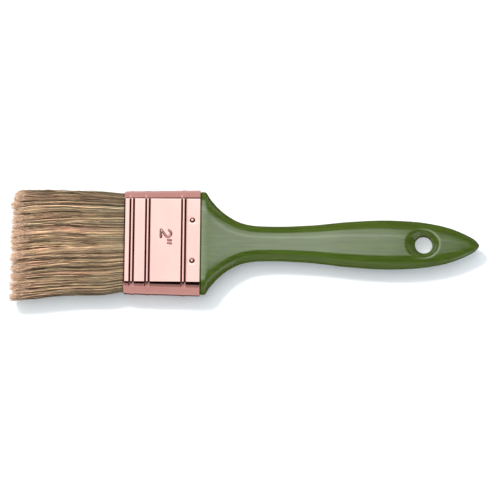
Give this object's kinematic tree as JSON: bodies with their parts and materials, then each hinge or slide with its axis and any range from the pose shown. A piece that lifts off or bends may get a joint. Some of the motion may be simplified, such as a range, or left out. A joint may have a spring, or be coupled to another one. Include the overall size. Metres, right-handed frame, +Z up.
{
  "type": "paint brush",
  "caption": "Flat paint brush: glossy contoured handle with a dished hanging hole, beaded copper-coloured metal ferrule and a flaring tuft of natural bristle.",
  "frame": {"origin": "on the surface the brush lies on, under the middle of its box", "axes": "+X along the brush towards the handle's tail (bristle tips at -X), +Y across its width, +Z up through its thickness"},
  "size_m": [0.22, 0.0534, 0.0155],
  "materials": {
    "handle_lacquer": "high-gloss green",
    "ferrule_metal": "copper-plated, bright",
    "nail_metal": "copper-plated, bright",
    "setting_resin": "cast amber resin",
    "plug_wood": "raw",
    "bristle": "natural hog bristle with pale split tips"
  },
  "bodies": {
    "brush": {"handle": "handle_lacquer", "ferrule": "ferrule_metal", "ferrule_nails": "nail_metal", "resin_set": "setting_resin", "spacer_plug": "plug_wood", "front_bristle_bank": "bristle", "rear_bristle_bank": "bristle"},
    "tuft": {"bristle_tuft": "bristle"}
  },
  "joints": [
    {"name": "bristle_flex", "type": "hinge", "parent": "brush", "child": "tuft", "pos_m": [-0.0664, 0, 0.00775], "axis": [0, 1, 0], "range_deg": [-30, 30], "stiffness_Nm_per_rad": 0.5}
  ]
}
